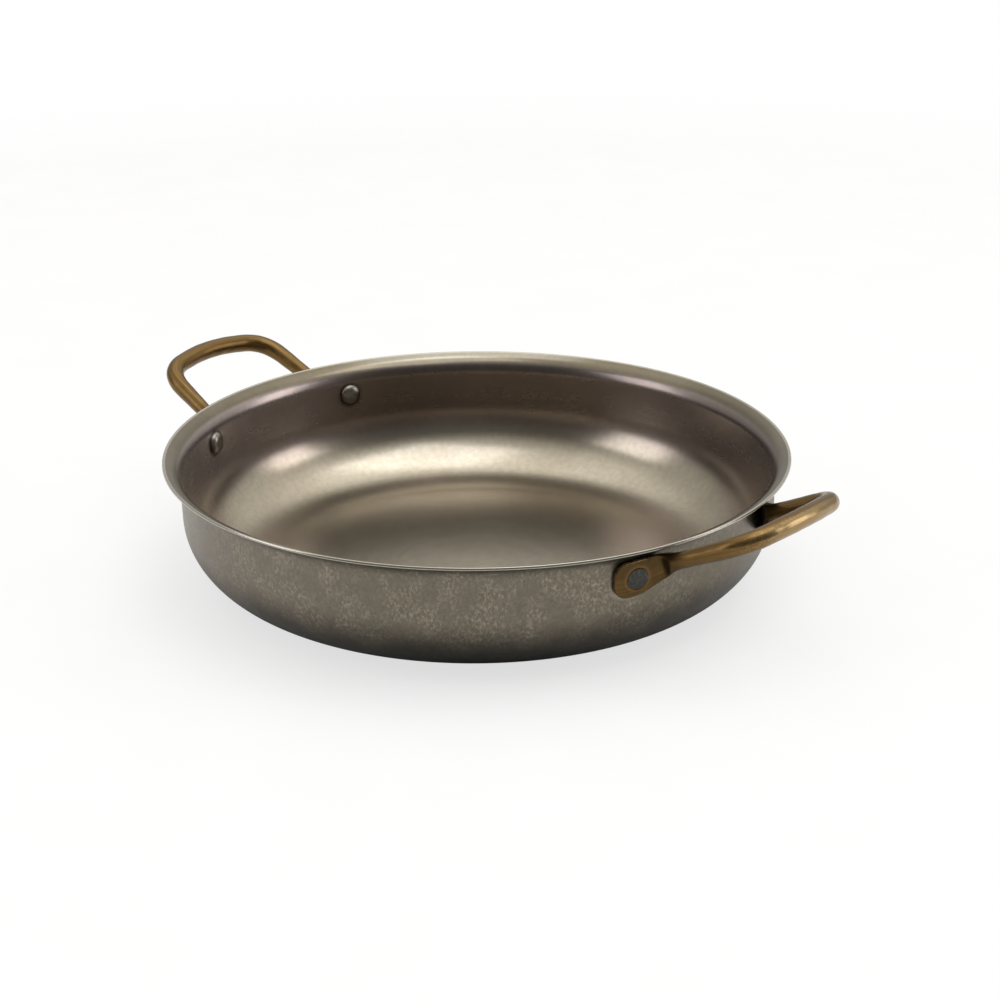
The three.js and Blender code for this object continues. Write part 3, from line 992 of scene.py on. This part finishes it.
def satinRivetSteel():
    look = {
        "steel": rgb(0.26, 0.238, 0.205),
        "dark": rgb(0.045, 0.045, 0.041),  # tails, and clouds on the heads
        "fleck": rgb(0.4, 0.38, 0.34),
        "roughness": (0.24, 0.38),
        "reliefDepth": 0.00004,
    }
    material, tree, shader = newMaterial("satinRivetSteel")
    place = objectPlace(tree)
    grain = useGroup(tree, grainGroup, Place=place, GrainScale=2200, CloudScale=420)
    scratches = useGroup(tree, scratchGroup, Place=place, Spacing=1100)["Lines"]
    clouded = between(tree, grain["Cloud"], 0.3, 0.7, 0, 0.4)
    shaded = summed(tree, clouded, (attribute(tree, "tail"), 0.95))
    base = blend(tree, shaded, look["steel"], look["dark"])
    base = blend(tree, times(tree, grain["Flecks"], 0.12), base, look["fleck"])
    base = blend(tree, times(tree, scratches, 0.2), base, look["fleck"])
    feed(tree, shader.inputs["Base Color"], base)
    feed(tree, shader.inputs["Roughness"], between(tree, grain["Grain"], 0.2, 0.8, *look["roughness"]))
    feed(tree, shader.inputs["Normal"], bumpFrom(tree, grain["Height"], look["reliefDepth"]))
    shader.inputs["Metallic"].default_value = 1.0
    return material


for pieces, finish in (([shell], tumbledSteel()), (handles, agedBrass()), (rivets, satinRivetSteel())):
    for piece in pieces:
        piece.data.materials.clear()
        piece.data.materials.append(finish)
print("finishes made")


# Floor, lamps and camera

stage = {
    "floorRadius": 120.0,
    "floorRings": 13,
    "floorColumns": 96,
    "floorHole": 0.0737,  # hidden by the dish, and shows its base from below
    "floorColour": rgb(0.87, 0.868, 0.862),
    "glowFrom": 0.28,  # the lit floor gives way to plain white between these distances from the dish
    "glowTo": 0.9,
    "whitened": 0.7,  # share of white that the camera sees in the lit floor
    "worldDim": 0.16,  # towards the camera
    "worldLow": 0.22,  # behind the dish, at the horizon
    "worldRise": 1.17,  # and how much brighter it gets overhead
    "worldLeft": 0.6,  # share of that on the left
    "worldTop": 0.7,  # ceiling, on every side
    "ceilingFrom": 0.6,  # sines of the elevations where it starts and is full
    "ceilingTo": 0.9,
    "worldTint": rgb(1.0, 0.99, 0.95),
}
view = {
    "azimuth": math.radians(41.1),
    "elevation": math.radians(20.151),
    "distance": 0.825,
    "aimHeight": 0.04504,
    "lens": 84.292,
    "sideStep": 0.00793,  # middle of the picture from the aim point, to the right and up
    "upStep": -0.0184,
    "roll": -0.00499,
}
lamps = {
    # azimuth from behind the dish to the right, elevation, distance, width, depth, radiance and colour
    "overhead": (115, 78, 1.35, 0.98, 0.86, 1.55, (0.97, 1.0, 1.08)),
    "rightSide": (91, 18, 1.5, 0.55, 0.84, 2.6, (1.02, 0.98, 1.02)),
    "leftSide": (-104, 25, 1.5, 0.72, 0.85, 2.15, (1.0, 0.98, 1.03)),
}

towards = Vector((
    math.sin(view["azimuth"]) * math.cos(view["elevation"]),
    -math.cos(view["azimuth"]) * math.cos(view["elevation"]),
    math.sin(view["elevation"]),
))
rightward = Vector((math.cos(view["azimuth"]), math.sin(view["azimuth"]), 0))
upward = towards.cross(rightward)
behind = Vector((-math.sin(view["azimuth"]), math.cos(view["azimuth"]), 0))


def layFloor():
    # rings of a growing radius round the dish, with a hole under its base
    rings, columns = stage["floorRings"], stage["floorColumns"]
    radius = np.geomspace(stage["floorHole"], stage["floorRadius"], rings)
    points = turnedRings(np.stack([radius, 0 * radius], -1), columns).reshape(-1, 3)
    upQuads = ringQuads(rings, columns)[:, ::-1]
    mesh = meshFrom("floor", points, upQuads, np.empty((0, 3), int))
    floor = placed("floor", mesh)
    material, tree, shader = newMaterial("paleFloor")
    place = objectPlace(tree)
    shade = between(tree, noiseValue(tree, place, 30, 2), 0.3, 0.7, 0.97, 1.0)
    feed(tree, shader.inputs["Base Color"], blend(tree, 1.0, stage["floorColour"], shade, "MULTIPLY"))
    shader.inputs["Roughness"].default_value = 0.9
    shader.inputs["Specular IOR Level"].default_value = 0.1
    # far from the dish the floor is plain white to the camera and in reflections
    glow = tree.nodes.new("ShaderNodeEmission")
    path = tree.nodes.new("ShaderNodeLightPath").outputs
    mirrored = calc(tree, "MAXIMUM", path["Is Glossy Ray"], path["Is Transmission Ray"])
    seen = calc(tree, "MAXIMUM", path["Is Camera Ray"], mirrored)
    far = between(tree, vectorCalc(tree, "LENGTH", place), stage["glowFrom"], stage["glowTo"])
    near = times(tree, path["Is Camera Ray"], stage["whitened"])
    mix = tree.nodes.new("ShaderNodeMixShader")
    feed(tree, mix.inputs["Fac"], calc(tree, "MAXIMUM", times(tree, seen, far), near))
    tree.links.new(shader.outputs[0], mix.inputs[1])
    tree.links.new(glow.outputs[0], mix.inputs[2])
    # and from below it can be seen through
    oneWay = tree.nodes.new("ShaderNodeMixShader")
    feed(tree, oneWay.inputs["Fac"], tree.nodes.new("ShaderNodeNewGeometry").outputs["Backfacing"])
    tree.links.new(mix.outputs[0], oneWay.inputs[1])
    tree.links.new(tree.nodes.new("ShaderNodeBsdfTransparent").outputs[0], oneWay.inputs[2])
    tree.links.new(oneWay.outputs[0], tree.nodes["Material Output"].inputs["Surface"])
    mesh.materials.append(material)


def hangLamp(name, azimuth, elevation, distance, width, depth, radiance, colour):
    # a flat softbox that faces the dish; its power follows from its area and its brightness
    a, e = math.radians(azimuth), math.radians(elevation)
    level = math.cos(a) * behind + math.sin(a) * rightward
    way = math.cos(e) * level + math.sin(e) * Vector((0, 0, 1))
    lamp = bpy.data.lights.new(name, "AREA")
    lamp.shape = "RECTANGLE"
    lamp.size, lamp.size_y = width, depth
    lamp.energy = radiance * math.pi * width * depth
    lamp.color = colour
    holder = placed(name, lamp)
    holder.location = way * distance
    holder.rotation_mode = "QUATERNION"
    holder.rotation_quaternion = (-way).to_track_quat("-Z", "Y")


def lightWorld():
    # even surroundings, paler behind the dish and darker on the camera's side
    world = bpy.data.worlds.new("studio")
    bpy.context.scene.world = world
    world.use_nodes = True
    tree = world.node_tree
    way = tree.nodes.new("ShaderNodeTexCoord").outputs["Generated"]
    back = vectorCalc(tree, "DOT_PRODUCT", way, tuple(behind))
    high = calc(tree, "MAXIMUM", vectorCalc(tree, "DOT_PRODUCT", way, (0, 0, 1)), 0)
    side = vectorCalc(tree, "DOT_PRODUCT", way, tuple(rightward))
    risen = calc(tree, "MINIMUM", high, stage["ceilingFrom"])
    pale = summed(tree, stage["worldLow"], (risen, stage["worldRise"]))
    pale = times(tree, pale, between(tree, side, -0.7, 0.1, stage["worldLeft"], 1))
    level = summed(tree, stage["worldDim"], (pale, between(tree, back, -0.55, 0.25)))
    ceiling = between(tree, high, stage["ceilingFrom"], stage["ceilingTo"], 0, stage["worldTop"])
    level = calc(tree, "ADD", level, ceiling)
    colour = blend(tree, 1.0, stage["worldTint"], level, "MULTIPLY")
    feed(tree, tree.nodes["Background"].inputs["Color"], colour)


def setCamera():
    camera = placed("camera", bpy.data.cameras.new("camera"))
    camera.data.lens = view["lens"]
    aim = Vector((0, 0, view["aimHeight"]))
    camera.location = aim + view["distance"] * towards
    middle = aim + view["sideStep"] * rightward + view["upStep"] * upward
    look = (middle - camera.location).to_track_quat("-Z", "Y")
    camera.rotation_mode = "QUATERNION"
    camera.rotation_quaternion = look @ Quaternion((0, 0, 1), view["roll"])
    bpy.context.scene.camera = camera


layFloor()
for name, values in lamps.items():
    hangLamp(name, *values)
lightWorld()
setCamera()
bpy.context.scene.view_settings.view_transform = "Standard"
print("stage set")
